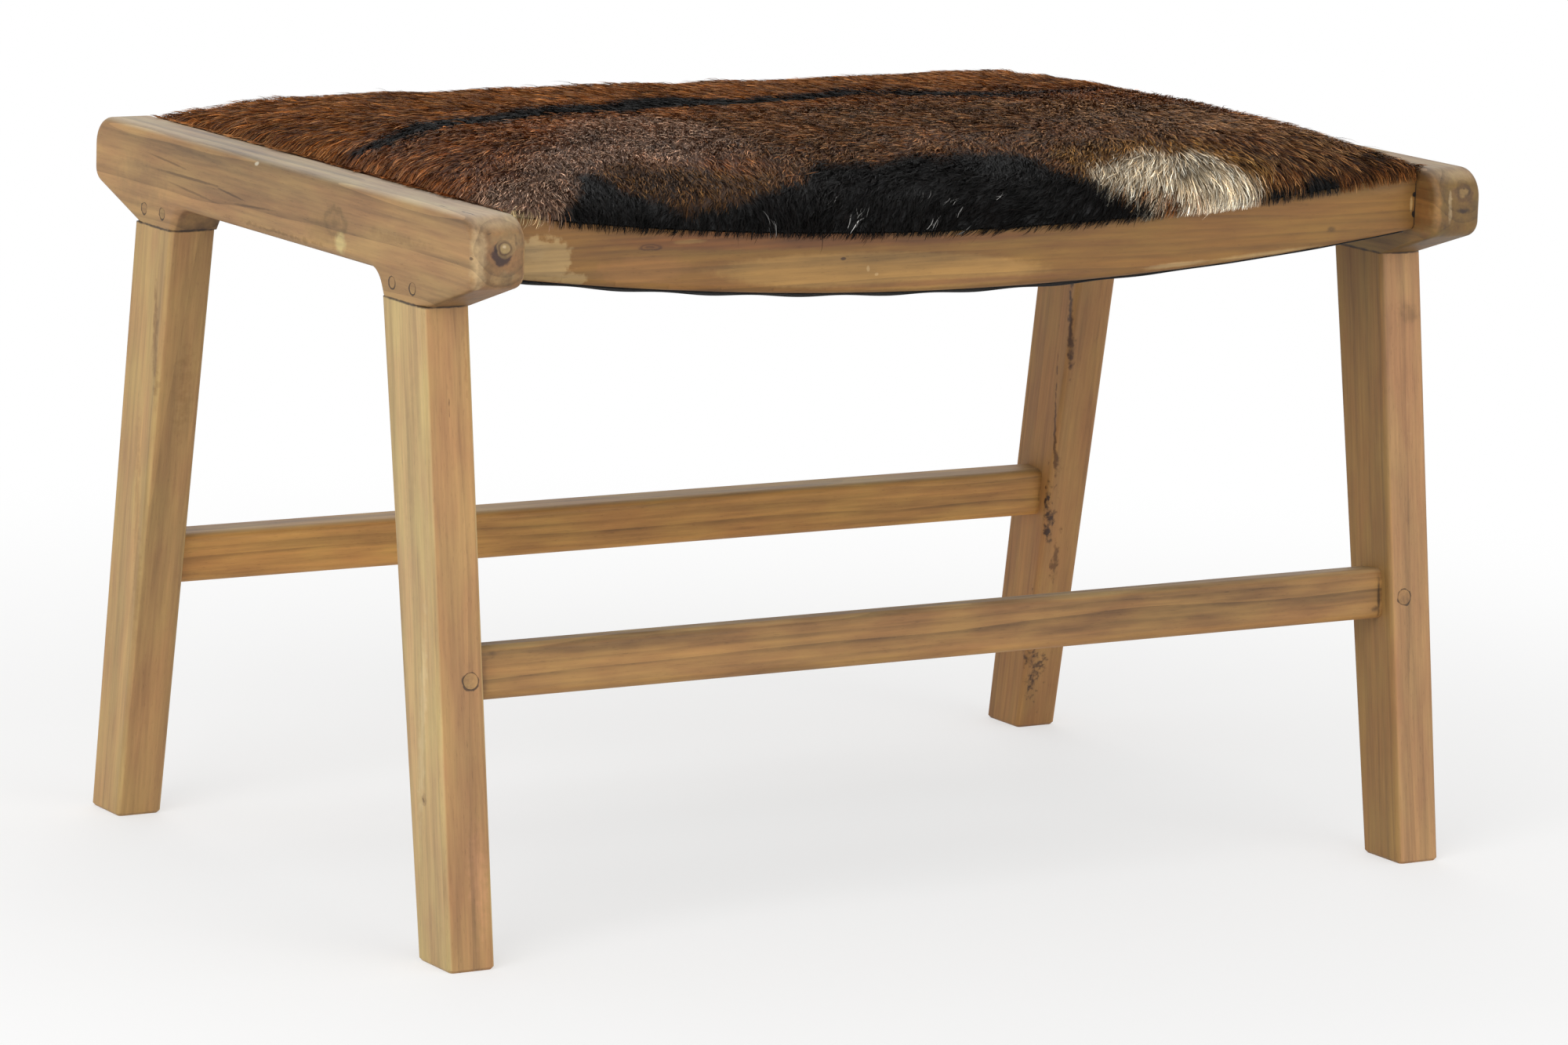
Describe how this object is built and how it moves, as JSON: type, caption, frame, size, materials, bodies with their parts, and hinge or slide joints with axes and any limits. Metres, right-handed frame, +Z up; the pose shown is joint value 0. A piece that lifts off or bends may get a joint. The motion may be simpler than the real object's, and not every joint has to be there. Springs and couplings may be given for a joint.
{
  "type": "stool",
  "caption": "Low wooden stool with splayed legs, haunched end rails and a crowned seat covered in hair-on goat hide.",
  "frame": {"origin": "on the floor, under the middle of the seat", "axes": "+X along the stool's length to the right end rail, +Y from the front seat rail to the back one, +Z up"},
  "size_m": [0.6, 0.418, 0.39],
  "materials": {
    "teak": "sanded, thinly oiled",
    "peg_wood": "cut flush and sanded",
    "block_wood": "sawn, unfinished",
    "steel": "zinc plated",
    "webbing": "woven elastic webbing",
    "foam": "soft open-cell foam",
    "goat_hide": "hair-on goat hide",
    "black_cloth": "thin woven lining cloth"
  },
  "bodies": {
    "root": {"end_rail_left": "teak", "end_rail_right": "teak", "leg_front_left": "teak", "leg_back_left": "teak", "leg_front_right": "teak", "leg_back_right": "teak", "seat_rail_front": "teak", "stretcher_front": "teak", "seat_rail_back": "teak", "stretcher_back": "teak", "haunch_pegs": "peg_wood", "stretcher_pegs": "peg_wood", "corner_block_front_left": "block_wood", "corner_block_back_left": "block_wood", "corner_block_front_right": "block_wood", "corner_block_back_right": "block_wood", "block_screws": "steel", "webbing_strap_1": "webbing", "webbing_strap_2": "webbing", "webbing_strap_3": "webbing", "webbing_strap_4": "webbing", "webbing_strap_5": "webbing", "webbing_strap_6": "webbing", "webbing_strap_7": "webbing", "webbing_staples": "steel", "seat_pad": "foam", "hide_cover": "goat_hide", "under_cloth": "black_cloth"}
  },
  "joints": []
}
